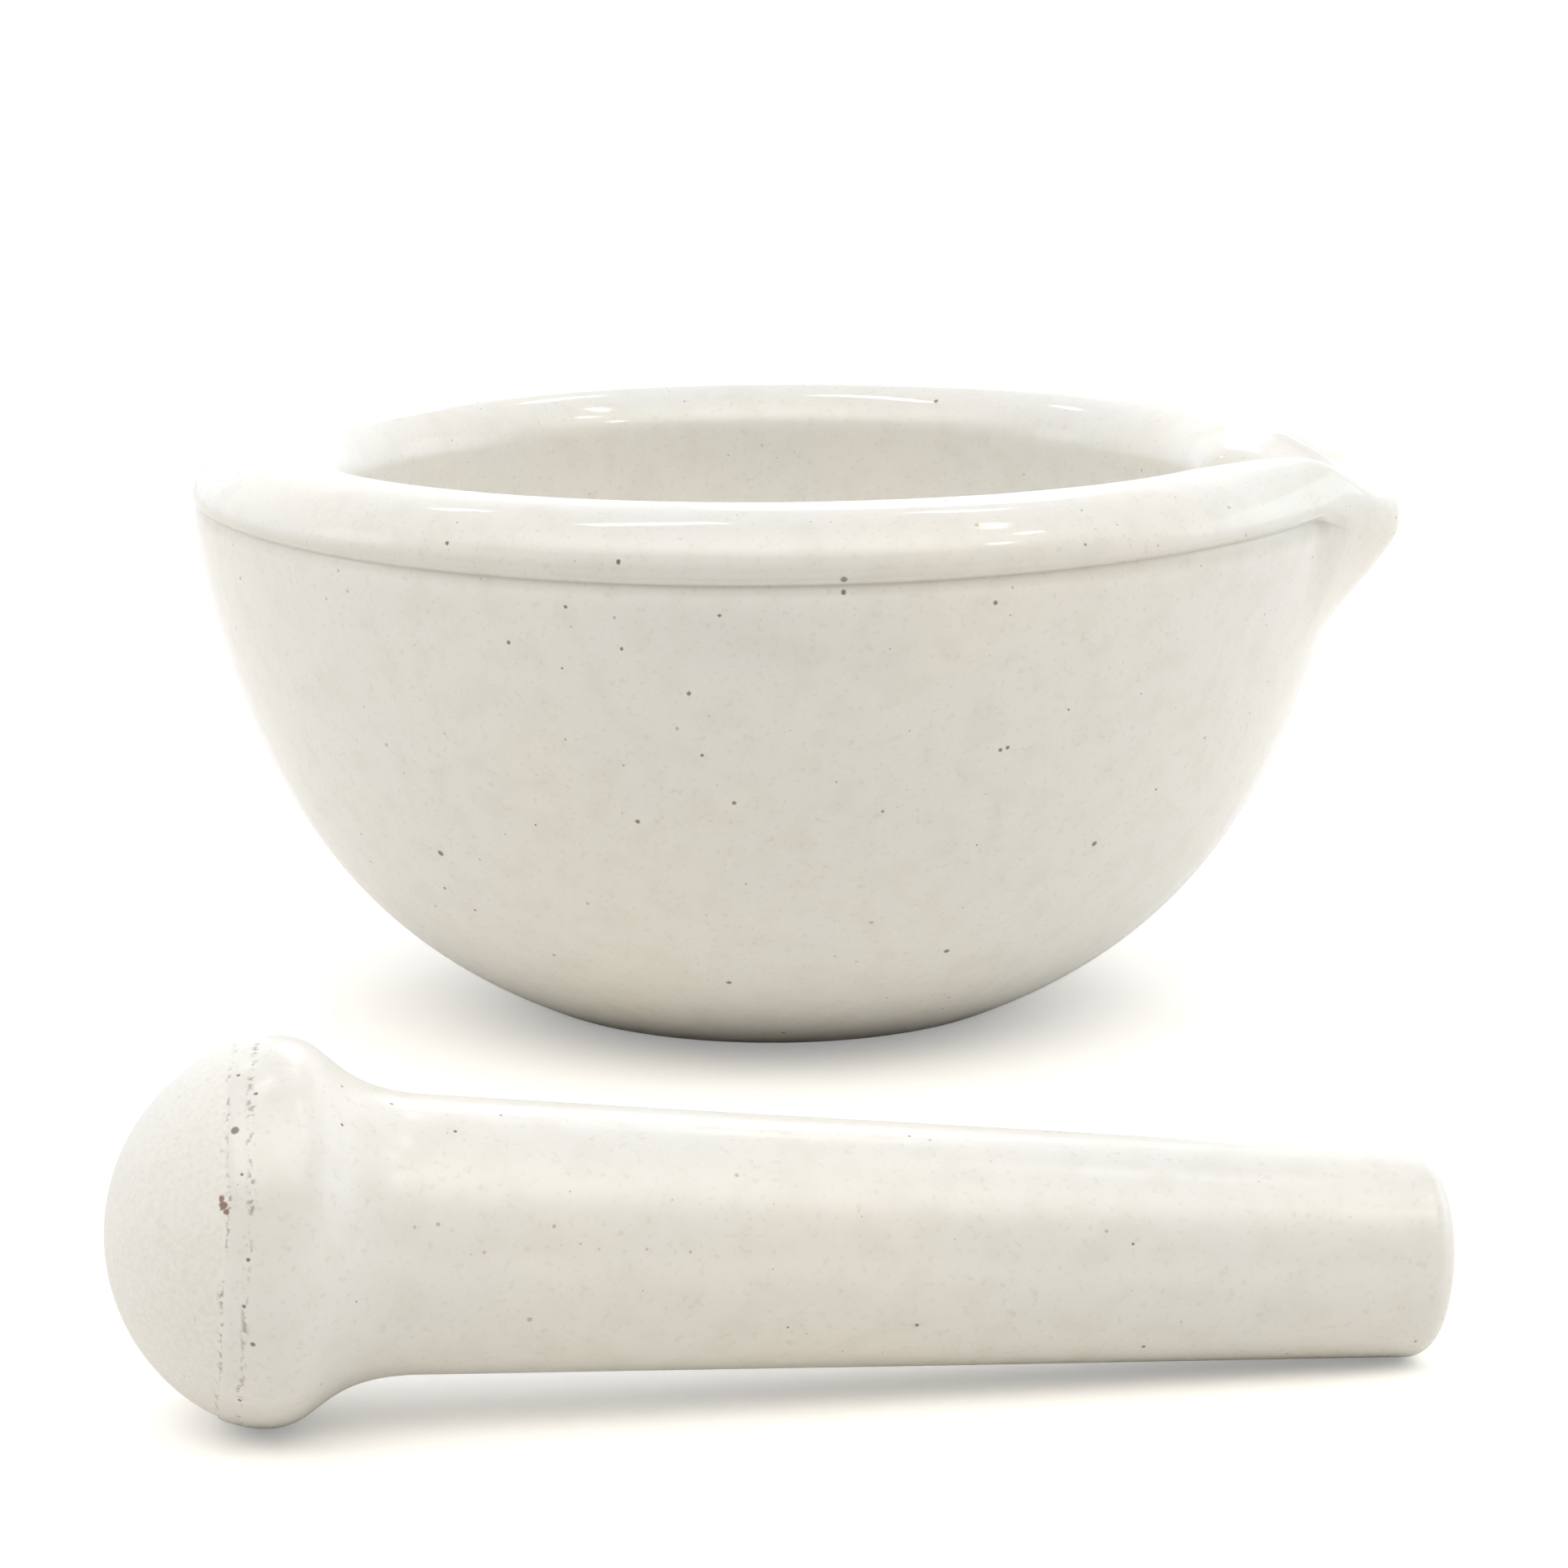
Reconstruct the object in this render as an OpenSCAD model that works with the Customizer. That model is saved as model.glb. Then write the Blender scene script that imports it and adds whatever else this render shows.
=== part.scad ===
// Porcelain laboratory mortar with a pouring spout, and its pestle lying beside it.
// Millimetres, +Z up. The origin is the centre of the mortar's foot, on the bench, and
// the spout points along +X. Outlines are half sections, written as [radius, height].

/* [Mortar] */
// Outside diameter of the mortar over its rim bead
rim_od = 100; // [96:0.5:104]
// Height of the mortar from the bench to the top of the bead
mortar_h = 49.2; // [48:0.1:51]
// Radius of the flat foot
foot_r = 20.5; // [16:0.5:23]
// Thickness of the floor of the bowl above the foot
floor_t = 8; // [6:0.5:11]
// Width of the rim bead, across the wall
bead_w = 13; // [11:0.2:14]
// Height of the rim bead
bead_h = 9.6; // [8:0.2:10]
// How far the wall under the bead stands back from the bead's outside
wall_inset = 0.6; // [0.4:0.1:1]

/* [Spout] */
// Reach of the spout from the mortar's axis
spout_reach = 54.3; // [53:0.1:56]
// Angle from the spout to where each side of it leaves the round rim
spout_spread = 21; // [18:1:24]
// Height of the spout's widest point
spout_z = 43.4; // [42:0.2:44.4]
// Height at which the underside of the spout runs out into the wall
spout_root_z = 34; // [32:0.5:36]

/* [Pestle] */
// Radius of the grinding head at its widest circle
head_r = 12.5; // [12:0.1:13.5]
// Depth of the domed grinding face in front of the widest circle
dome_h = 10.4; // [9:0.1:12]
// Length from the widest circle to the far end of the handle
handle_l = 78.4; // [74:0.2:86]
// Radius of the handle where it leaves the neck
neck_r = 9; // [8.6:0.05:9.8]
// Radius of the handle at its far end
end_r = 6.85; // [6:0.05:7.5]
// Place of the head's widest circle on the bench, along and across the spout's direction
head_at = [-10.3, -119.4]; // [-130:0.1:0]
// Direction in which the handle points, as an angle from the spout's direction
pestle_turn = 20.5; // [10:0.1:35]

/* [Hidden] */
$fn = 96;
porcelain = [0.93, 0.92, 0.89];

// Rim bead: an ellipse whose outside is the rim and whose top is the top of the mortar
rim_r = rim_od / 2;
bead_a = bead_w / 2;
bead_b = bead_h / 2;
bead_c = [rim_r - bead_a, mortar_h - bead_b];
bead_start = -8;        // angle round the bead at which it rises from the crease

// Outside of the wall: one curve from the foot's edge to just under the bead, and then
// a shallow crease where the bead begins
wall_top_drop = 4.2;    // how far the wall's top lies below the bead's middle
wall_top = [rim_r - wall_inset, bead_c[1] - wall_top_drop];
crease_step = [0.1, 3.2]; // from the wall's top to the crease: outward and up
crease = wall_top + crease_step;
foot_flare = [18, 7.3];   // the curve's handle at the foot: outward and up
wall_lean = [3.8, 18.8];  // the curve's handle at the top: inward and down

// Inside of the bowl: one curve from the bottom to the inner side of the bead
bowl_bottom_pull = 25;  // the curve's handle at the bottom, outward
bowl_side_pull = 24;    // the curve's handle at the bead, downward
bowl_side_swell = 0.4;  // how much wider the bowl gets just under the bead

// Spout: a lip drawn out from the bead, with a channel pressed into its top
lip_r = 2;              // roundness of the lip's tip
side_r = 4;             // roundness of the bead where the lip leaves it
side_drop = 0.2;        // how far that place lies below the bead's middle
root_r = 3;             // roundness of the underside where it meets the wall
root_inset = 1.8;       // how far the underside's root lies inside the rim's outside
channel_in = [36, 4.6]; // the channel's inner end: distance from the axis, and its radius
channel_rise = 2.4;     // height of the channel's inner end above the rim
channel_tip_r = 1.3;    // the channel's radius at the lip
channel_tip_rise = 3.3; // height of the channel's centre above the tip's centre
channel_past = 1;       // how far the channel runs on past the lip

// Pestle
dome_tip_pull = 7.8;    // the dome curve's handle at its tip, outward
dome_side_pull = 4.1;   // the dome curve's handle at the widest circle, towards the tip
shoulder_l = 9.9;       // length of the neck, from the widest circle to the plain handle
shoulder_round = 3.9;   // the neck curve's handle at the widest circle
neck_run = 6.8;         // the neck curve's handle along the handle
end_round = 1.5;        // roundness of the handle's end edge
end_turn = 65;          // how far the end edge turns before the domed end starts
end_dome = 0.9;         // how far the middle of the end stands out

// A cubic curve from a to d that leaves a towards b and arrives at d from c
function curve(a, b, c, d, steps = 16) =
    [for (i = [0 : steps])
        let (t = i / steps, s = 1 - t)
        s * s * s * a + 3 * s * s * t * b + 3 * s * t * t * c + t * t * t * d];

// Points of an ellipse with centre c and half sizes a and b, between two angles
function ellipse_arc(c, a, b, from, to, steps = 16) =
    [for (i = [0 : steps])
        let (w = from + (to - from) * i / steps)
        c + [a * cos(w), b * sin(w)]];

// A list of points without its first one, for joining one curve on to the end of another
function after_first(points) = [for (i = [1 : len(points) - 1]) points[i]];

function outer_wall() =
    curve([foot_r, 0],
          [foot_r, 0] + foot_flare,
          wall_top - wall_lean,
          wall_top, 20);

function rim_bead() = ellipse_arc(bead_c, bead_a, bead_b, bead_start, 180, 20);

// Starts one step below the bead's last point, so that no point is drawn twice
function bowl_inside() =
    let (top = [bead_c[0] - bead_a, bead_c[1]],
         points = curve(top,
                        top + [bowl_side_swell, -bowl_side_pull],
                        [bowl_bottom_pull, floor_t],
                        [0, floor_t], 24))
    after_first(points);

// Half section of the mortar without its spout
mortar_outline = concat(
    [[0, 0]],
    outer_wall(),
    [crease],
    rim_bead(),
    bowl_inside());

// Half section of the pestle, with the widest circle at height 0 and the dome below it
taper = (neck_r - end_r) / (handle_l - shoulder_l);
end_edge = [end_r - end_round, handle_l - end_dome - end_round];
end_rim = end_edge + end_round * [cos(end_turn), sin(end_turn)];
pestle_outline = concat(
    curve([0, -dome_h],
          [dome_tip_pull, -dome_h],
          [head_r, -dome_side_pull],
          [head_r, 0], 20),
    after_first(curve([head_r, 0],
                      [head_r, shoulder_round],
                      [neck_r + taper * neck_run, shoulder_l - neck_run],
                      [neck_r, shoulder_l])),
    ellipse_arc(end_edge, end_round, end_round, 0, end_turn, 6),
    after_first(curve(end_rim,
                      [end_rim[0] * 2 / 3, handle_l - end_dome / 4],
                      [end_rim[0] / 3, handle_l],
                      [0, handle_l], 8)));

// The pestle rests on its head and on the edge of its far end
pestle_tilt = asin((head_r - end_r) / (handle_l - end_dome - end_round));
rest_height = max([for (p = pestle_outline) p[0] * cos(pestle_tilt) + p[1] * sin(pestle_tilt)]);

// Lip of the spout: the skin over two places on the bead, the tip and the root
module spout_lip() {
    hull() {
        for (side = [-1, 1])
            rotate([0, 0, side * spout_spread])
                translate([rim_r - side_r, 0, bead_c[1] - side_drop])
                    sphere(side_r, $fn = 32);
        translate([spout_reach - lip_r, 0, spout_z])
            sphere(lip_r, $fn = 32);
        translate([rim_r - root_inset - root_r, 0, spout_root_z])
            sphere(root_r, $fn = 32);
    }
}

// Pouring channel, pressed from the inside of the bowl out to the tip
module spout_channel() {
    hull() {
        translate([channel_in[0], 0, mortar_h + channel_rise])
            sphere(channel_in[1], $fn = 32);
        translate([spout_reach + channel_past, 0, spout_z + channel_tip_rise])
            sphere(channel_tip_r, $fn = 32);
    }
}

module mortar() {
    color(porcelain)
        difference() {
            union() {
                rotate_extrude() polygon(mortar_outline);
                spout_lip();
            }
            spout_channel();
        }
}

module pestle() {
    color(porcelain)
        translate([head_at[0], head_at[1], rest_height])
            rotate([0, 90 + pestle_tilt, pestle_turn])
                rotate_extrude() polygon(pestle_outline);
}

mortar();
pestle();
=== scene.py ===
"""A glazed porcelain laboratory mortar with its pestle lying in front of it on a pale bench.

Sections, marks and patterns are in millimetres, and MM turns them into Blender's metres. The
mortar's overall sizes and the pestle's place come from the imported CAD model.
"""

import math

import bpy
import numpy as np
from mathutils import Matrix, Vector, noise


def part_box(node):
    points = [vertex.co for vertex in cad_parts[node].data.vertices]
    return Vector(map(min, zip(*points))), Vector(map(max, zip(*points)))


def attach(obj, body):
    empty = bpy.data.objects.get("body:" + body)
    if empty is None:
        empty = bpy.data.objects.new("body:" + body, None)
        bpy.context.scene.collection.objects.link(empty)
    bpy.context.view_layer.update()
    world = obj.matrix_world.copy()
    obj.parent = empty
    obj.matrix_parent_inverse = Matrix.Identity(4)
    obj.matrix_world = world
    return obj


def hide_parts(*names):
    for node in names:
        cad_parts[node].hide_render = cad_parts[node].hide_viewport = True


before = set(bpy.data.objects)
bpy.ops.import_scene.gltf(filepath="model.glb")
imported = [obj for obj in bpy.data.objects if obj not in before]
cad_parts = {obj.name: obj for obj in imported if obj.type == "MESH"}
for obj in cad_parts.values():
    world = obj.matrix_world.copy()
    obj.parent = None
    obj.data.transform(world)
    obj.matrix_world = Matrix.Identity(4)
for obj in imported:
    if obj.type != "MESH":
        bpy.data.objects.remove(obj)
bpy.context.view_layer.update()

MM = 0.001
NOISE_START = Vector((3.1, 7.7, 1.9))  # where in the noise field the small irregularities are read

# The mortar's driving sizes, from the CAD model
mortar_low, mortar_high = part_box("mortar")
RIM_R = -mortar_low.x / MM
HEIGHT = mortar_high.z / MM
SPOUT_REACH = mortar_high.x / MM

# Mortar section, as (radius, height)
FOOT_R = 20.6
FOOT_FLARE = (17.9, 7.3)  # the wall curve's handle at the foot
WALL_END = (RIM_R - 0.6, HEIGHT - 9.1)
WALL_LEAN = (3.8, 18.8)  # the wall curve's handle at its top
BEAD_HALF = (6.5, 4.8)  # half of the rim bead's width and height
BEAD_CENTRE = (RIM_R - BEAD_HALF[0], HEIGHT - BEAD_HALF[1])
BEAD_START = -4.0  # degrees round the bead at which it rises from the groove
GROOVE = (RIM_R - 0.42, BEAD_CENTRE[1] - 0.8)  # bottom of the groove under the bead
FLOOR_T = 8.0
BOWL_SIDE_PULL = (0.4, -24)  # the bowl curve's handle at the bead
BOWL_BOTTOM_PULL = 25  # the bowl curve's handle at the bottom, as a radius
BOWL_JOIN = 35.2  # height down to which the spout's channel shapes the bowl
CHANNEL_FADE = 22.0  # height at which the last trace of the channel ends
KEEL_ROOT = 31.5  # height at which the keel under the spout leaves the wall
GROOVE_RISE = (0.55, 0.5)  # mean rise of the groove all round, and how far it swings about that
GROOVE_LOW = -86.0  # the groove is lowest here and just opposite, in degrees from the spout
GROOVE_REACH = 1.8  # height above and below the groove at which half of its rise is left
WOBBLE = 0.16  # how far the hand-finished wall strays from a true circle
WOBBLE_SIZE = 34  # distance over which it does so
MORTAR_COLUMNS = 360
CROWDING = 0.7  # how closely the columns stand together at the spout: 0 is evenly, 1 is closest

# Spout, in degrees from its own direction
SPOUT_TANGENT = 25.0  # where its sides leave the round rim
SPOUT_SOFT = 3.6  # how far its point is rounded off
DROP_START = (12.0, 25.0)  # where the rim's top starts to come down, before the spout and after it
DROP_END = 3.0  # where it has come down to the tip's height
CREST_LEAN = 0.7  # how early the rim's top moves outward: 1 is with its side, less is before it
CHANNEL_WIDTH = 6.5  # where the channel is half as deep as in its middle
KEEL_START, KEEL_FULL = 16.0, 10.0  # where the keel's flank begins and where it fills the groove
RIM_TILT = 0.0065  # rise of the rim towards the spout, as a slope

# Where round the bead the spout's pull changes: the degrees at which that begins, counted
# from the outside, and how many more it takes
OFF_WALL = (-12, 14)  # from the keel's pull to the outline's
UPWARD = (5, 60)  # from the outline's pull to the crest's
INWARD = (85, 75)  # from the crest's pull to the channel's

# Pestle section, as (radius, distance from the widest circle)
HEAD_R = 12.53
DOME_H = 10.4
DOME_PULLS = (7.7, 4.1)  # the dome curve's handles, at its tip and at the widest circle
HANDLE_L = 78.4
NECK_R = 8.98
END_R = 6.83
SHOULDER_L = 9.9
SHOULDER_PULLS = (3.9, 6.8)  # the neck curve's handles, at the widest circle and at the handle
END_EDGE = (1.9, 1.7)  # half sizes of the rounded edge: across and along
END_TURN = 65.0  # how far that edge turns, in degrees, before the domed end starts
END_DOME = 0.9  # how far the middle of the end stands out
GLAZE_LINE = -3.6  # where the glaze stops on the head, on the side that lies to the front
GLAZE_SLANT = 0.9  # how far the line slants: this much at the sides and twice this at the back
GLAZE_FRONT = -100.0  # degrees round the pestle of the side that lies to the front
GLAZE_STRAY = 0.3  # how far that line wanders
GLAZE_T = 0.09  # thickness of the glaze there
GLAZE_EDGE = 0.2  # distance over which it thins to nothing
GLAZE_LIP = 0.05  # height of the rounded lip that the glaze ends in
GLAZE_LIP_AT = 0.45  # distance of the lip's top from the line
GLAZE_LIP_HALF = 0.3  # distance from its top at which the lip is half as high
SECOND_LINE = 1.4  # distance of a second line of marks from the first
PESTLE_WOBBLE = 0.05  # how far the pestle strays from a true circle
PESTLE_WOBBLE_SIZE = 14  # distance over which it does so
PESTLE_COLUMNS = 240

# Marks that show best on the mortar, as (degrees from the spout, height, radius)
MORTAR_MARKS = [
    (-73, 44.2, 0.36),
    (-73, 43.2, 0.27),
    (-93, 45.4, 0.24),
    (-110, 46.0, 0.2),
    (-87, 35.0, 0.25),
    (-56, 29.8, 0.24),
    (-93, 24.0, 0.25),
    (-86, 29.9, 0.18),
    (-59, 41.9, 0.24),
    (-93, 38.5, 0.2),
    (-104, 38.5, 0.2),
    (-98, 41.7, 0.2),
    (-84, 41.4, 0.18),
    (-50, 45.9, 0.18),
]
# Marks on the pestle, as (degrees round it, distance along it from the widest circle, radius)
PESTLE_MARKS = [
    (-114, -3.7, 0.38),
    (-116, -3.8, 0.28),
    (-112, -3.5, 0.28),
    (-160, -2.7, 0.15),
    (-150, -1.7, 0.18),
    (-123, -2.6, 0.14),
    (-103, -4.5, 0.11),
    (-98, -2.1, 0.16),
    (-84, -2.2, 0.15),
    (-72, -1.5, 0.2),
    (-47, -1.9, 0.16),
    (-144, 3.7, 0.13),
    (-168, 7.2, 0.17),
    (-153, 11.1, 0.15),
    (-66, 41.2, 0.16),
]
STAIN_MARKS = 3  # how many of those, from the first, make up the brown stain on the bare face

# Colours, as red, green, blue and opacity
GLAZE_WARM = (0.88, 0.85, 0.78, 1)
GLAZE_COOL = (0.85, 0.845, 0.805, 1)
MOTTLE = (0.80, 0.775, 0.70, 1)
GRAIN = (0.66, 0.61, 0.52, 1)
FAINT_SPECK = (0.33, 0.25, 0.16, 1)
BOLD_SPECK = (0.13, 0.08, 0.042, 1)
CLAY_PALE = (0.92, 0.90, 0.85, 1)
CLAY_DARK = (0.83, 0.80, 0.73, 1)
# painted shade for the groove under the rim bead, standing in for the shade that falls in that crease
GROOVE_PAINTED_SHADE = (0.45, 0.42, 0.30, 1)
LINE_SPECK = (0.21, 0.13, 0.085, 1)
STAIN = (0.24, 0.12, 0.07, 1)

# Roughness of the glaze: it varies from this to twice this
MORTAR_GLOSS = 0.055
PESTLE_GLOSS = 0.15
BUMP_HEIGHT = 0.00004  # in metres

# Camera, placed from the middle of the mortar's foot, in metres
CAMERA_AZIMUTH = math.radians(10.5)
CAMERA_DISTANCE = 0.400
CAMERA_HEIGHT = 0.0991
CAMERA_ASIDE = 0.00107
CAMERA_PITCH = math.radians(11.43)
CAMERA_LENS = 106.4  # in millimetres

# Bench and room. Each side of the room is given as (sine of the elevation, light in red,
# green and blue), and ROOM_LIGHT multiplies all of it.
BENCH_COLOUR = (0.92, 0.90, 0.86, 1)
BENCH_GLOW = 0.3  # added where the camera looks straight at the bench, so that it looks white
BENCH_HALF = 6.0  # half of its width, in metres
ROOM_LIGHT = 3.45
ROOM_BEHIND = (
    (0.0, (0.33, 0.34, 0.37)),
    (0.2, (0.37, 0.38, 0.41)),
    (0.45, (0.34, 0.35, 0.35)),
    (0.75, (0.14, 0.15, 0.18)),
)
ROOM_IN_FRONT = (
    (0.0, (0.006, 0.005, 0.002)),
    (0.58, (0.006, 0.005, 0.002)),
    (0.86, (1.02, 0.99, 0.93)),
)
FRONT_SIDE = (-0.3, 0.6)  # where, from behind towards the camera, one side passes into the other
BACKDROP = (0.5, 0.5, 0.5, 1)  # what the camera sees of the room, before ROOM_LIGHT
WINDOW_DISTANCE = 1.5  # from the point that the lights face, in metres
WINDOW_AIM = 0.04  # height of that point


# Curves and small helpers


def curve(a, b, c, d, steps, first=0):
    """Points of a cubic curve from a to d that leaves towards b and arrives from c."""
    t = np.arange(first, steps + 1)[:, None] / steps
    s = 1 - t
    a, b, c, d = (np.array(p, float) for p in (a, b, c, d))
    return s**3 * a + 3 * s * s * t * b + 3 * s * t * t * c + t**3 * d


def arc(centre, half, start, end, steps, first=0):
    """Points of an ellipse between two angles in degrees."""
    w = np.radians(start + (end - start) * np.arange(first, steps + 1) / steps)
    return np.stack([centre[0] + half[0] * np.cos(w), centre[1] + half[1] * np.sin(w)], -1)


def shares(points):
    """How far along its own line each point lies, from 0 to 1."""
    run = np.concatenate([[0], np.cumsum(np.hypot(*np.diff(points, axis=0).T))])
    return run / run[-1]


def follow(points, line):
    """Places along a line, at the same shares of its length as the points have of theirs."""
    at = shares(line)
    return np.stack([np.interp(shares(points), at, line[:, k]) for k in (0, 1)], -1)


def smooth(x):
    """0 below 0, 1 above 1, and a smooth step between."""
    x = np.clip(x, 0, 1)
    return x * x * (3 - 2 * x)


def bell(x):
    """1 at 0, a half at 1 either side, and then down to nothing."""
    return 0.5 ** (x * x)


def wave(point, size):
    """Smooth noise from about -1 to 1 at a point in millimetres, with features of that size."""
    return noise.noise(Vector(point) / size + NOISE_START)


def revolve(name, rings, first_point, last_point):
    """A closed mesh from rings of points, drawn to a point at both ends."""
    n_rings, n_round = rings.shape[:2]
    verts = [tuple(p) for p in rings.reshape(-1, 3)] + [first_point, last_point]
    faces = []
    for j in range(n_round):
        k = (j + 1) % n_round
        for i in range(n_rings - 1):
            low, high = i * n_round, (i + 1) * n_round
            faces.append((low + j, low + k, high + k, high + j))
        last = (n_rings - 1) * n_round
        faces.append((j, len(verts) - 2, k))
        faces.append((last + j, last + k, len(verts) - 1))
    mesh = bpy.data.meshes.new(name)
    mesh.from_pydata([tuple(c * MM for c in v) for v in verts], [], faces)
    mesh.update()
    mesh.shade_smooth()
    own = mesh.attributes.new("own_mm", "FLOAT_VECTOR", "POINT")
    own.data.foreach_set("vector", np.array(verts, np.float32).ravel())
    piece = bpy.data.objects.new(name, mesh)
    bpy.context.collection.objects.link(piece)
    return piece


# Mortar


def plain_section():
    """The mortar's half section away from the spout, and the name of each point's stretch."""
    flare_end = (FOOT_R + FOOT_FLARE[0], FOOT_FLARE[1])
    lean_start = (WALL_END[0] - WALL_LEAN[0], WALL_END[1] - WALL_LEAN[1])
    wall = curve((FOOT_R, 0), flare_end, lean_start, WALL_END, 90, first=3)
    foot = np.stack([np.linspace(3, FOOT_R - 1.2, 6), np.zeros(6)], -1)
    edge = curve(foot[-1], (FOOT_R - 0.1, 0), (FOOT_R + 0.4, 0.1), wall[0], 6, first=1)[:-1]
    under = curve(
        WALL_END,
        (WALL_END[0] + 0.3, WALL_END[1] + 1.5),
        (GROOVE[0] + 0.5, GROOVE[1] - 0.9),
        GROOVE,
        14,
        first=1,
    )
    start = arc(BEAD_CENTRE, BEAD_HALF, BEAD_START, BEAD_START, 1)[0]
    groove_out = (GROOVE[0] - 0.02, GROOVE[1] + 0.12)
    rise = curve(GROOVE, groove_out, start - (0.05, 0.2), start, 5, first=1)
    bead = arc(BEAD_CENTRE, BEAD_HALF, BEAD_START, 180, 56, first=1)
    inner = bead[-1]
    bottom_pull = (BOWL_BOTTOM_PULL, FLOOR_T)
    bowl = curve(inner, inner + BOWL_SIDE_PULL, bottom_pull, (2.0, FLOOR_T), 60, first=1)
    stretches = {
        "foot": foot,
        "edge": edge,
        "wall": wall,
        "under": under,
        "rise": rise,
        "bead": bead,
        "bowl": bowl,
    }
    label = np.concatenate([[name] * len(points) for name, points in stretches.items()])
    return np.concatenate(list(stretches.values())), label


def without_groove(section, label):
    """The plain section with the groove under the bead filled in."""
    made = section.copy()
    groove = np.isin(label, ["under", "rise"])
    start = BEAD_CENTRE[0] + BEAD_HALF[0] * math.cos(math.radians(BEAD_START))
    up = smooth((section[:, 1] - WALL_END[1]) / (BEAD_CENTRE[1] - WALL_END[1]))
    made[groove, 0] = (WALL_END[0] + (start - WALL_END[0]) * up)[groove]
    return made


def bead_turn(points):
    """How far round the bead each point lies: 0 outside, 90 on top and 180 inside."""
    return np.degrees(np.arctan2(points[:, 1] - BEAD_CENTRE[1], points[:, 0] - BEAD_CENTRE[0]))


def spout_section(section, label):
    """The section through the middle of the spout, point for point with the plain one."""
    tip = SPOUT_REACH
    keel_top = (tip - 0.4, 41.4)
    lip_top = (tip - 1.8, 45.8)
    root = section[np.isin(label, ["wall", "under"]) & (section[:, 1] > KEEL_ROOT)][0]
    keel = curve(root, root + (0.6, 3.0), (tip - 2.9, 37.3), keel_top, 40)
    lip = curve(keel_top, (tip + 0.3, 42.7), (tip + 0.1, 45.3), lip_top, 30)
    channel = curve(lip_top, (tip - 4.2, 46.4), (tip - 10.8, 42.5), (tip - 15, BOWL_JOIN), 40)
    made = section.copy()
    in_keel = np.isin(label, ["wall", "under"]) & (section[:, 1] > KEEL_ROOT)
    in_lip = (label == "rise") | ((label == "bead") & (bead_turn(section) < 65))
    in_channel = ((label == "bead") & ~in_lip) | ((label == "bowl") & (section[:, 1] > BOWL_JOIN))
    for part, line in ((in_keel, keel), (in_lip, lip), (in_channel, channel)):
        made[part] = follow(section[part], line)
    below = (label == "bowl") & (section[:, 1] <= BOWL_JOIN)
    gap = made[in_channel][-1] - section[in_channel][-1]
    fade = smooth((section[below, 1] - CHANNEL_FADE) / (BOWL_JOIN - CHANNEL_FADE))
    made[below] += gap * fade[:, None]
    return made


def outline_pull(angle):
    """How far the spout draws the rim out at an angle, as a share of what it does at its tip."""
    soft = math.hypot(angle, SPOUT_SOFT)
    reach = 1 / math.cos(math.radians(max(0.0, SPOUT_TANGENT - soft))) - 1
    full = 1 / math.cos(math.radians(SPOUT_TANGENT - SPOUT_SOFT)) - 1
    return reach / full


def spout_weights(section, label, angle):
    """How much of the spout's section shows at an angle: outward and downward, point by point."""
    outline = outline_pull(abs(angle))
    keel = outline * smooth((KEEL_START - abs(angle)) / (KEEL_START - KEEL_FULL))
    start = DROP_START[0] if angle < 0 else DROP_START[1]
    angle = abs(angle)
    drop = smooth((start - angle) / (start - DROP_END))
    crest = outline**CREST_LEAN
    channel = bell(angle / CHANNEL_WIDTH)
    out = np.full(len(section), keel)
    down = np.full(len(section), keel * keel)
    over = np.isin(label, ["rise", "bead"])
    turn = bead_turn(section[over])
    changes = (OFF_WALL, UPWARD, INWARD)
    off_wall, upward, inward = (smooth((turn - begin) / length) for begin, length in changes)
    side = keel + (outline - keel) * off_wall + (crest - outline) * upward
    out[over] = side * (1 - inward) + channel * inward
    down[over] = (keel * keel + (drop - keel * keel) * upward) * (1 - inward) + channel * inward
    inside = label == "bowl"
    out[inside] = down[inside] = channel
    return np.stack([out, down], -1)


def mortar_mesh():
    """The whole mortar as one closed mesh, its columns closest together at the spout."""
    section, label = plain_section()
    filled = without_groove(section, label)
    spout = spout_section(section, label)
    outer = np.isin(label, ["wall", "under", "rise"])
    outer |= (label == "bead") & (section[:, 0] > BEAD_CENTRE[0])
    rings = np.zeros((len(section), MORTAR_COLUMNS, 3))
    for j in range(MORTAR_COLUMNS):
        turn = 2 * math.pi * j / MORTAR_COLUMNS
        angle = turn - CROWDING * math.sin(turn)
        from_spout = (math.degrees(angle) + 180) % 360 - 180
        fill = smooth((KEEL_START - abs(from_spout)) / (KEEL_START - KEEL_FULL))
        weight = spout_weights(section, label, from_spout)
        plain = section * (1 - fill) + filled * fill
        points = plain * (1 - weight) + spout * weight
        c, s = math.cos(angle), math.sin(angle)
        swing = math.cos(2 * math.radians(from_spout - GROOVE_LOW))
        lift = GROOVE_RISE[0] - GROOVE_RISE[1] * swing
        points[outer, 1] += lift * bell((points[outer, 1] - GROOVE[1]) / GROOVE_REACH) * (1 - fill)
        for i, (r, z) in enumerate(points):
            high = max(0.0, z / HEIGHT)
            r += WOBBLE * high * wave((r * c, r * s, z * 0.6), WOBBLE_SIZE)
            rings[i, j] = r * c, r * s, z + RIM_TILT * r * c * high**2
    return revolve("mortar_body", rings, (0, 0, section[0][1]), (0, 0, section[-1][1]))


# Pestle


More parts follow.
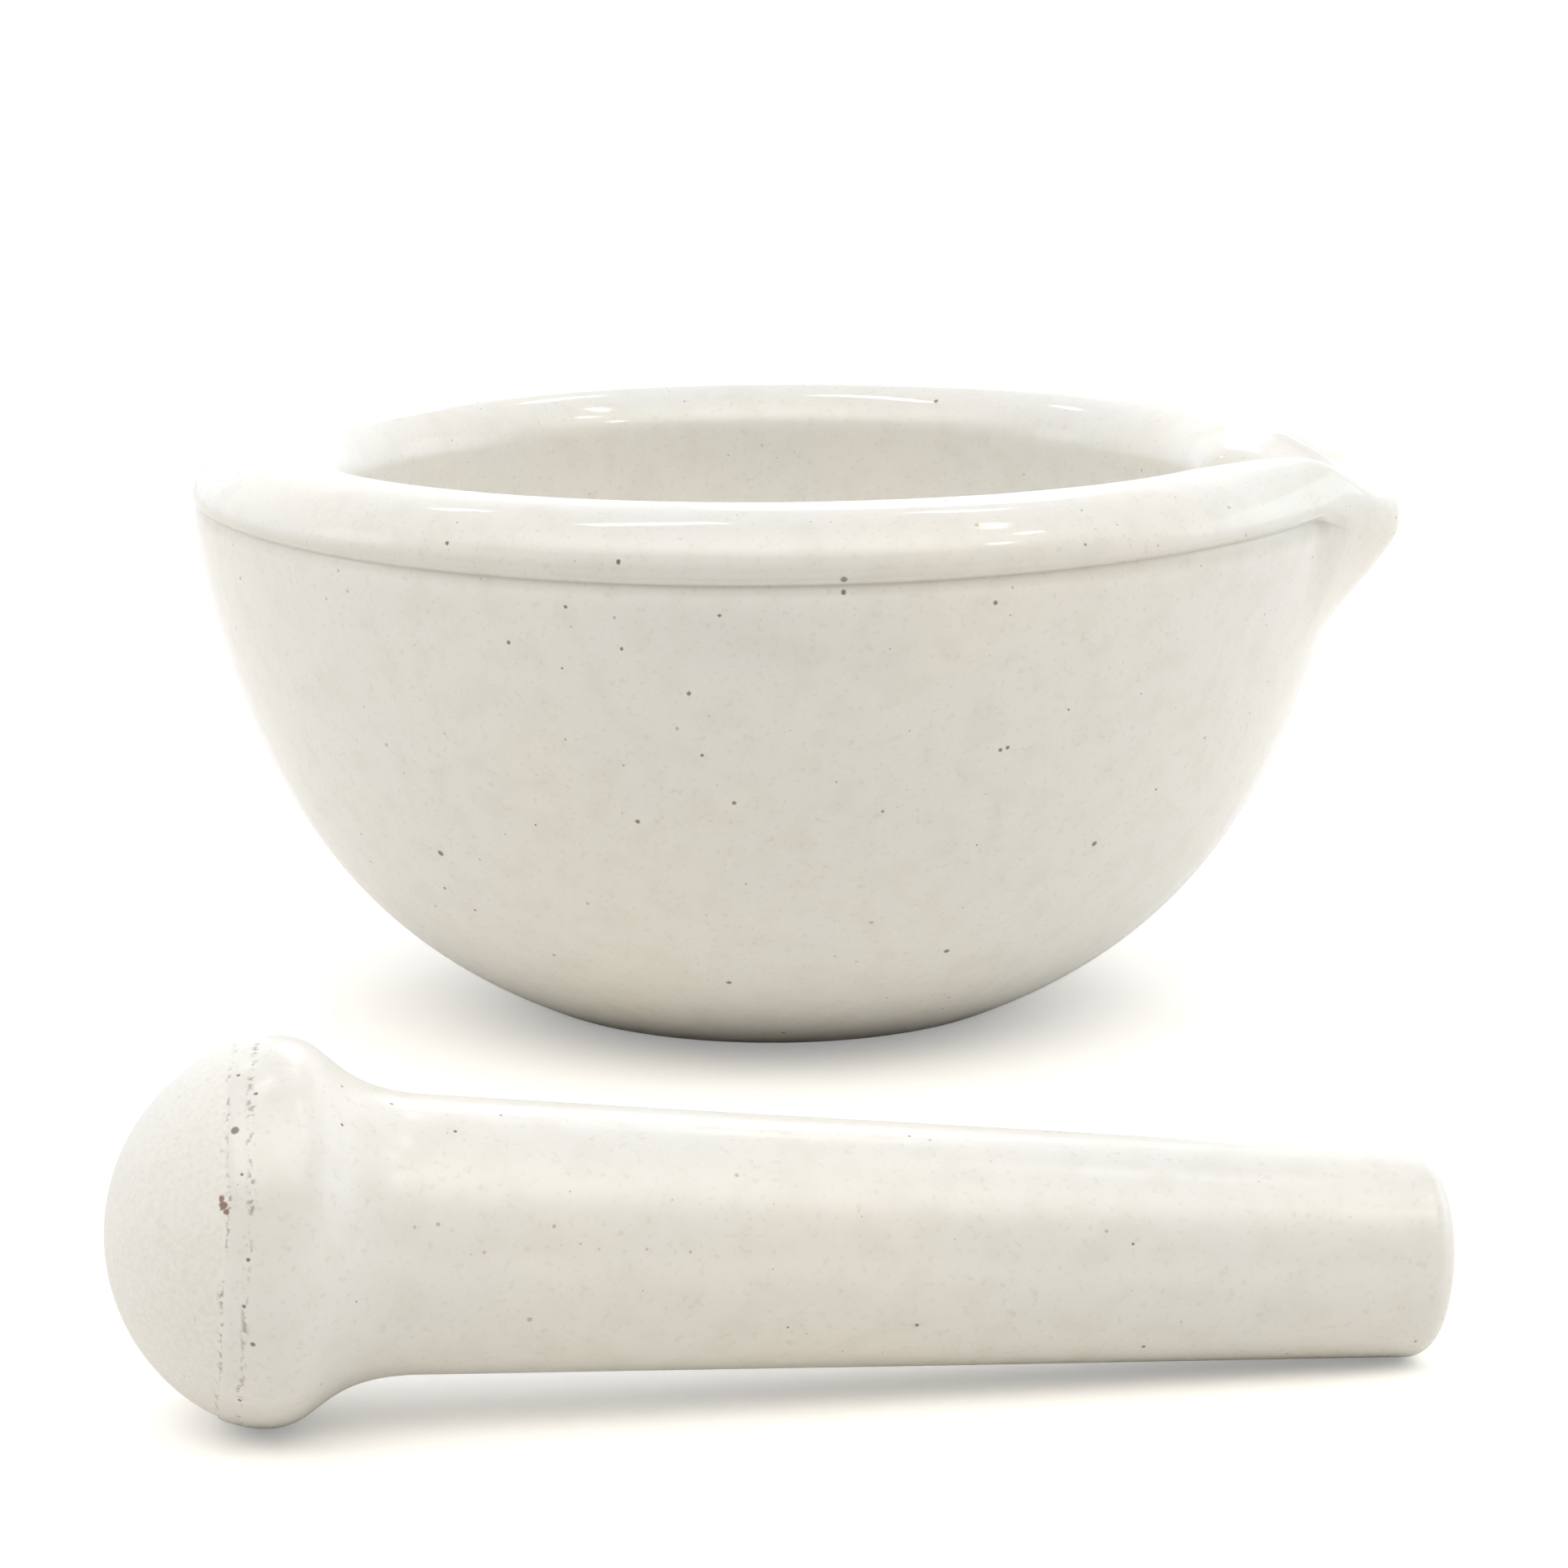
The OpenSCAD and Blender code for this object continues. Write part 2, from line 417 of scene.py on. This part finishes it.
def pestle_section():
    """The pestle's half section, from near the tip of the dome to near the middle of the end."""
    tip_pull, side_pull = DOME_PULLS
    dome = curve((0, -DOME_H), (tip_pull, -DOME_H), (HEAD_R, -side_pull), (HEAD_R, 0), 160, first=4)
    taper = (NECK_R - END_R) / (HANDLE_L - SHOULDER_L)
    shoulder_pull, neck_pull = SHOULDER_PULLS
    neck = curve(
        (HEAD_R, 0),
        (HEAD_R, shoulder_pull),
        (NECK_R + taper * neck_pull, SHOULDER_L - neck_pull),
        (NECK_R, SHOULDER_L),
        50,
        first=1,
    )
    edge_centre = (END_R - END_EDGE[0], HANDLE_L - END_DOME - END_EDGE[1])
    handle = np.linspace(neck[-1], (END_R, edge_centre[1]), 70)[1:]
    edge = arc(edge_centre, END_EDGE, 0, END_TURN, 12, first=1)
    r, z = edge[-1]
    flat = (r * 2 / 3, HANDLE_L - END_DOME / 4)
    end = curve((r, z), flat, (r / 3, HANDLE_L), (0, HANDLE_L), 12, first=1)
    return np.concatenate([dome, neck, handle, edge, end[:-1]])


def glaze_line(angle):
    """Where the glaze stops on the head, at an angle round the pestle."""
    around = (9 * math.cos(angle), 9 * math.sin(angle), 0)
    slant = GLAZE_SLANT * (1 - math.cos(angle - math.radians(GLAZE_FRONT)))
    return GLAZE_LINE + slant + GLAZE_STRAY * wave(around, 5) + 0.3 * GLAZE_STRAY * wave(around, 1.3)


def solid_axis(name):
    """The long axis of a turned CAD solid: its centre of volume, its direction and its two ends."""
    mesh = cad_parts[name].data
    mesh.calc_loop_triangles()
    corners = np.array([[mesh.vertices[i].co for i in t.vertices] for t in mesh.loop_triangles], float)
    middle = corners.reshape(-1, 3).mean(0)
    corners -= middle
    volume = np.einsum("ij,ij->i", corners[:, 0], np.cross(corners[:, 1], corners[:, 2])) / 6
    sums = corners.sum(1)
    centre = (volume[:, None] * sums / 4).sum(0) / volume.sum()
    spread = np.einsum("n,nki,nkj->ij", volume, corners, corners)
    spread = spread + np.einsum("n,ni,nj->ij", volume, sums, sums)
    spread = spread / 20 / volume.sum() - np.outer(centre, centre)
    axis = np.linalg.eigh(spread)[1][:, -1]
    along = (corners.reshape(-1, 3) - centre) @ axis
    if along.max() < -along.min():
        axis, along = -axis, -along
    return Vector(centre + middle), Vector(axis), along.min(), along.max()


def pestle_mesh():
    """The pestle, made upright along its own axis and then laid where the CAD solid lies."""
    section = pestle_section()
    past_line = np.zeros((len(section), PESTLE_COLUMNS))
    rings = np.zeros((len(section), PESTLE_COLUMNS, 3))
    for j in range(PESTLE_COLUMNS):
        angle = 2 * math.pi * j / PESTLE_COLUMNS
        c, s = math.cos(angle), math.sin(angle)
        line = glaze_line(angle)
        past_line[:, j] = section[:, 1] - line
        for i, (r, z) in enumerate(section):
            bare = smooth((line - z) / GLAZE_EDGE + 0.5)
            r += PESTLE_WOBBLE * wave((r * c, r * s, z * 0.5), PESTLE_WOBBLE_SIZE) - GLAZE_T * bare
            r += GLAZE_LIP * bell((z - line - GLAZE_LIP_AT) / GLAZE_LIP_HALF)
            rings[i, j] = r * c, r * s, z
    piece = revolve("pestle_body", rings, (0, 0, -DOME_H), (0, 0, HANDLE_L))
    ends = [-DOME_H - GLAZE_LINE, HANDLE_L - GLAZE_LINE]
    glaze = piece.data.attributes.new("past_glaze_line", "FLOAT", "POINT")
    glaze.data.foreach_set("value", np.concatenate([past_line.ravel(), ends]).astype(np.float32))
    centre, axis, low, high = solid_axis("pestle")
    across = Vector((0, 0, 1)).cross(axis).normalized()
    turn = Matrix((across.cross(axis), across, axis)).transposed().to_4x4()
    piece.data.transform(Matrix.Translation(centre + axis * (high - HANDLE_L * MM)) @ turn)
    return piece


# Materials


def node(tree, kind, inputs=None, **settings):
    """A new shader node with its settings and inputs, each input a value or another node's output."""
    made = tree.nodes.new(kind)
    for key, value in settings.items():
        setattr(made, key, value)
    for key, value in (inputs or {}).items():
        if isinstance(value, bpy.types.NodeSocket):
            tree.links.new(value, made.inputs[key])
        else:
            made.inputs[key].default_value = value
    return made


def maths(tree, operation, *values):
    """The result of one operation on numbers or other nodes' outputs."""
    return node(tree, "ShaderNodeMath", dict(enumerate(values)), operation=operation).outputs[0]


def between(tree, value, start, end):
    """0 where the value is at or before start, 1 at or past end, and smooth between."""
    inputs = {"Value": value, "From Min": start, "From Max": end}
    return node(tree, "ShaderNodeMapRange", inputs, interpolation_type="SMOOTHSTEP").outputs[0]


def blend(tree, share, first, second):
    """A colour between the first, where share is 0, and the second, where it is 1."""
    mix = node(tree, "ShaderNodeMix", data_type="RGBA")
    for socket, value in zip((mix.inputs[0], mix.inputs[6], mix.inputs[7]), (share, first, second)):
        if isinstance(value, bpy.types.NodeSocket):
            tree.links.new(value, socket)
        else:
            socket.default_value = value
    return mix.outputs[2]


def cloud(tree, place, size, detail=2.0):
    """Noise with features of that size in millimetres."""
    inputs = {"Vector": place, "Scale": 1 / size, "Detail": detail}
    return node(tree, "ShaderNodeTexNoise", inputs).outputs["Fac"]


def specks(tree, place, spacing, smallest, largest, share):
    """Round specks, one for some of the cells of that spacing: 1 in their middle, 0 outside."""
    cells = node(tree, "ShaderNodeTexVoronoi", {"Vector": place, "Scale": 1 / spacing})
    parts = node(tree, "ShaderNodeSeparateColor", {"Color": cells.outputs["Color"]})
    size = maths(tree, "POWER", parts.outputs[0], 4.0)
    radius = maths(tree, "MULTIPLY_ADD", size, (largest - smallest) / spacing, smallest / spacing)
    kept = maths(tree, "LESS_THAN", parts.outputs[1], share)
    inner = maths(tree, "MULTIPLY", radius, 0.55)
    edge = between(tree, cells.outputs["Distance"], radius, inner)
    return maths(tree, "MULTIPLY", edge, kept)


def on_surface(places, outline):
    """Turns (degrees, height, radius) marks into (point, radius) pairs on a turned outline."""
    found = []
    for turn, z, radius in places:
        r = np.interp(z, outline[:, 1], outline[:, 0])
        w = math.radians(turn)
        found.append(((r * math.cos(w), r * math.sin(w), z), radius))
    return found


def marks(tree, place, points):
    """Uneven round marks at the given (point, radius) pairs: 1 inside, 0 outside."""
    stray = maths(tree, "MULTIPLY_ADD", cloud(tree, place, 0.3), 0.9, -0.45)
    found = None
    for point, radius in points:
        inputs = {0: place, 1: point}
        away = node(tree, "ShaderNodeVectorMath", inputs, operation="DISTANCE").outputs["Value"]
        away = maths(tree, "MULTIPLY_ADD", stray, radius, away)
        mark = between(tree, away, radius, radius * 0.5)
        found = mark if found is None else maths(tree, "MAXIMUM", found, mark)
    return found


def porcelain(name, points, gloss):
    """Off-white porcelain under clear glaze: clouded, with brown specks, pits and the marks given."""
    material = bpy.data.materials.new(name)
    material.use_nodes = True
    tree = material.node_tree
    shader = tree.nodes["Principled BSDF"]
    place = node(tree, "ShaderNodeAttribute", attribute_name="own_mm").outputs["Vector"]
    warmth = between(tree, cloud(tree, place, 26), 0.3, 0.7)
    colour = blend(tree, warmth, GLAZE_WARM, GLAZE_COOL)
    mottle = between(tree, cloud(tree, place, 2.6), 0.4, 0.75)
    colour = blend(tree, maths(tree, "MULTIPLY", mottle, 0.5), colour, MOTTLE)
    grain = between(tree, cloud(tree, place, 0.5), 0.55, 0.8)
    colour = blend(tree, maths(tree, "MULTIPLY", grain, 0.35), colour, GRAIN)
    faint = specks(tree, place, 1.5, 0.07, 0.22, 0.6)
    colour = blend(tree, maths(tree, "MULTIPLY", faint, 0.5), colour, FAINT_SPECK)
    bold = specks(tree, place, 2.9, 0.12, 0.36, 0.6)
    strong = maths(tree, "MAXIMUM", bold, marks(tree, place, points))
    colour = blend(tree, maths(tree, "MULTIPLY", strong, 0.8), colour, BOLD_SPECK)
    peel = cloud(tree, place, 2.2, 1.0)
    ripple = cloud(tree, place, 9.0, 1.0)
    height = maths(tree, "MULTIPLY_ADD", ripple, 3.0, peel)
    height = maths(tree, "MULTIPLY_ADD", bold, -0.8, height)
    rough = maths(tree, "MULTIPLY_ADD", cloud(tree, place, 6.0), gloss, gloss)
    return material, tree, shader, place, colour, height, rough


def finish(tree, shader, colour, height, rough):
    """Joins the finished colour, height and roughness to the shader."""
    bump = node(tree, "ShaderNodeBump", {"Height": height, "Strength": 0.35, "Distance": BUMP_HEIGHT})
    tree.links.new(colour, shader.inputs["Base Color"])
    tree.links.new(rough, shader.inputs["Roughness"])
    tree.links.new(bump.outputs["Normal"], shader.inputs["Normal"])
    shader.inputs["IOR"].default_value = 1.5


def bare_clay(tree, place, share, colour, height, rough):
    """Lets unglazed, matt and slightly grainy porcelain show where share is 1."""
    grit = cloud(tree, place, 0.35, 3.0)
    clay = blend(tree, between(tree, grit, 0.3, 0.8), CLAY_PALE, CLAY_DARK)
    colour = blend(tree, maths(tree, "MULTIPLY", share, 0.6), colour, clay)
    height = maths(tree, "MULTIPLY_ADD", maths(tree, "MULTIPLY", grit, share), 1.6, height)
    rough = maths(tree, "MULTIPLY_ADD", share, 0.45, rough)
    return colour, height, rough


def mortar_porcelain():
    """The mortar's porcelain, with painted shade that makes it a little darker in the groove, and bare
    under the foot.
    """
    section, label = plain_section()
    outside = np.isin(label, ["wall", "under", "rise", "bead"])
    outside &= (label != "bead") | (section[:, 0] > BEAD_CENTRE[0])
    points = on_surface(MORTAR_MARKS, section[outside])
    made = porcelain("mortar_porcelain", points, MORTAR_GLOSS)
    material, tree, shader, place, colour, height, rough = made
    parts = node(tree, "ShaderNodeSeparateXYZ", {"Vector": place})
    across = node(tree, "ShaderNodeCombineXYZ", {"X": parts.outputs["X"], "Y": parts.outputs["Y"]})
    length = node(tree, "ShaderNodeVectorMath", {0: across.outputs[0]}, operation="LENGTH")
    radius = length.outputs["Value"]
    # Painted shade: the outer surface in the groove under the bead is darkened a fifth of the way
    # towards the groove's painted shade colour
    above = maths(tree, "SUBTRACT", parts.outputs["Z"], GROOVE[1] + GROOVE_RISE[0])
    near = between(tree, maths(tree, "ABSOLUTE", above), 1.5, 0.2)
    near = maths(tree, "MULTIPLY", near, between(tree, radius, RIM_R + 0.6, RIM_R))
    near = maths(tree, "MULTIPLY", near, between(tree, radius, GROOVE[0] - 1, GROOVE[0] - 0.5))
    colour = blend(tree, maths(tree, "MULTIPLY", near, 0.2), colour, GROOVE_PAINTED_SHADE)
    wander = maths(tree, "MULTIPLY_ADD", cloud(tree, place, 5.0), 0.6, 0.1)
    foot = maths(tree, "LESS_THAN", parts.outputs["Z"], wander)
    colour, height, rough = bare_clay(tree, place, foot, colour, height, rough)
    finish(tree, shader, colour, height, rough)
    return material


def pestle_porcelain():
    """The pestle's porcelain, with two broken lines of specks and a bare, stained grinding face."""
    section = pestle_section()
    side = section[section[:, 1] < HANDLE_L - SHOULDER_L]
    points = on_surface(PESTLE_MARKS, side)
    made = porcelain("pestle_porcelain", points, PESTLE_GLOSS)
    material, tree, shader, place, colour, height, rough = made
    past = node(tree, "ShaderNodeAttribute", attribute_name="past_glaze_line").outputs["Fac"]
    broken = cloud(tree, place, 0.45, 3.0)
    for line, reach, strength in ((0.0, 0.5, 0.75), (SECOND_LINE, 0.7, 0.6)):
        away = maths(tree, "ABSOLUTE", maths(tree, "SUBTRACT", past, line))
        away = maths(tree, "MULTIPLY_ADD", cloud(tree, place, 2.0), reach, away)
        band = between(tree, away, reach, 0.4 * reach)
        band = maths(tree, "MULTIPLY", band, between(tree, broken, 0.5, 0.62))
        colour = blend(tree, maths(tree, "MULTIPLY", band, strength), colour, LINE_SPECK)
    bare = between(tree, past, 0.1, -0.1)
    colour, height, rough = bare_clay(tree, place, bare, colour, height, rough)
    stain = maths(tree, "MULTIPLY", marks(tree, place, points[:STAIN_MARKS]), 0.8)
    colour = blend(tree, stain, colour, STAIN)
    finish(tree, shader, colour, height, rough)
    return material


# Bench, light and camera


def place_camera():
    """The camera in front of the mortar, turned a little towards the spout's side."""
    camera = bpy.data.objects.new("camera", bpy.data.cameras.new("camera"))
    bpy.context.collection.objects.link(camera)
    camera.data.lens = CAMERA_LENS
    camera.data.sensor_width = 36.0
    camera.data.clip_start = 0.01
    camera.data.clip_end = 100.0
    camera.matrix_world = (
        Matrix.Rotation(CAMERA_AZIMUTH, 4, "Z")
        @ Matrix.Translation((CAMERA_ASIDE, -CAMERA_DISTANCE, CAMERA_HEIGHT))
        @ Matrix.Rotation(math.pi / 2 - CAMERA_PITCH, 4, "X")
    )
    bpy.context.scene.camera = camera


def bench():
    """A wide pale bench top, which throws light up at the pieces and looks white to the camera."""
    half = BENCH_HALF
    corners = [(-half, -half, 0), (half, -half, 0), (half, half, 0), (-half, half, 0)]
    mesh = bpy.data.meshes.new("bench_top")
    mesh.from_pydata(corners, [], [(0, 1, 2, 3)])
    top = bpy.data.objects.new("bench_top", mesh)
    bpy.context.collection.objects.link(top)
    material = bpy.data.materials.new("bench_white")
    material.use_nodes = True
    tree = material.node_tree
    shader = tree.nodes["Principled BSDF"]
    shader.inputs["Base Color"].default_value = BENCH_COLOUR
    shader.inputs["Roughness"].default_value = 0.9
    shader.inputs["Specular IOR Level"].default_value = 0.1
    shader.inputs["Emission Color"].default_value = (1, 1, 1, 1)
    for_camera = node(tree, "ShaderNodeLightPath").outputs["Is Camera Ray"]
    glow = maths(tree, "MULTIPLY", for_camera, BENCH_GLOW)
    tree.links.new(glow, shader.inputs["Emission Strength"])
    mesh.materials.append(material)


def ramp(tree, value, stops):
    """A colour that runs straight from stop to stop as the value rises."""
    ramp_node = node(tree, "ShaderNodeValToRGB", {"Fac": value})
    elements = ramp_node.color_ramp.elements
    elements.remove(elements[-1])
    for index, (position, colour) in enumerate(stops):
        stop = elements.new(position) if index else elements[0]
        stop.position = position
        stop.color = (*colour, 1)
    return ramp_node.outputs["Color"]


def room():
    """Warm light from high in front, over a dim wall, and cooler light from the other sides."""
    world = bpy.data.worlds.new("room")
    bpy.context.scene.world = world
    world.use_nodes = True
    tree = world.node_tree
    way = node(tree, "ShaderNodeTexCoord").outputs["Generated"]
    up = node(tree, "ShaderNodeSeparateXYZ", {"Vector": way}).outputs["Z"]
    towards = (math.sin(CAMERA_AZIMUTH), -math.cos(CAMERA_AZIMUTH), 0)
    facing = node(tree, "ShaderNodeVectorMath", {0: way, 1: towards}, operation="DOT_PRODUCT")
    in_front = between(tree, facing.outputs["Value"], *FRONT_SIDE)
    colour = blend(tree, in_front, ramp(tree, up, ROOM_BEHIND), ramp(tree, up, ROOM_IN_FRONT))
    for_camera = node(tree, "ShaderNodeLightPath").outputs["Is Camera Ray"]
    colour = blend(tree, for_camera, colour, BACKDROP)
    tree.links.new(colour, tree.nodes["Background"].inputs["Color"])
    tree.nodes["Background"].inputs["Strength"].default_value = ROOM_LIGHT
    bpy.context.scene.view_settings.view_transform = "Standard"


def window(name, azimuth, elevation, size, strength, colour=(1, 1, 1)):
    """A rectangular light that faces the mortar, placed by its direction from it in degrees."""
    light = bpy.data.objects.new(name, bpy.data.lights.new(name, "AREA"))
    bpy.context.collection.objects.link(light)
    light.data.shape = "RECTANGLE"
    light.data.size, light.data.size_y = size
    light.data.color = colour
    light.data.energy = strength * math.pi * size[0] * size[1]
    a, e = math.radians(azimuth), math.radians(elevation)
    place = Vector((math.cos(e) * math.cos(a), math.cos(e) * math.sin(a), math.sin(e)))
    place *= WINDOW_DISTANCE
    light.location = place + Vector((0, 0, WINDOW_AIM))
    light.rotation_euler = place.to_track_quat("Z", "Y").to_euler()


place_camera()
bench()
room()
window("roof_light", 130, 69, (0.36, 0.10), 7.0)
window("roof_light_right", 30, 67, (0.30, 0.06), 7.0)
window("lamp_behind", 86, 50, (0.12, 0.07), 9.0)
window("lamp_behind_left", 128, 47, (0.10, 0.06), 9.0)
window("lamp_right", 1, 58, (0.14, 0.07), 9.0)
window("lamp_front_right", -23, 48, (0.10, 0.10), 9.0)
window("window_behind", 96, 32, (0.30, 0.22), 5.0)
window("window_right", 28, 20, (1.0, 0.6), 0.8, (0.86, 0.94, 1.0))
window("window_left", -172, 24, (0.5, 0.5), 0.9, (0.94, 0.97, 1.0))

mortar = mortar_mesh()
mortar.data.materials.append(mortar_porcelain())
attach(mortar, "mortar")
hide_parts("mortar")

pestle = pestle_mesh()
pestle.data.materials.append(pestle_porcelain())
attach(pestle, "pestle")
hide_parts("pestle")
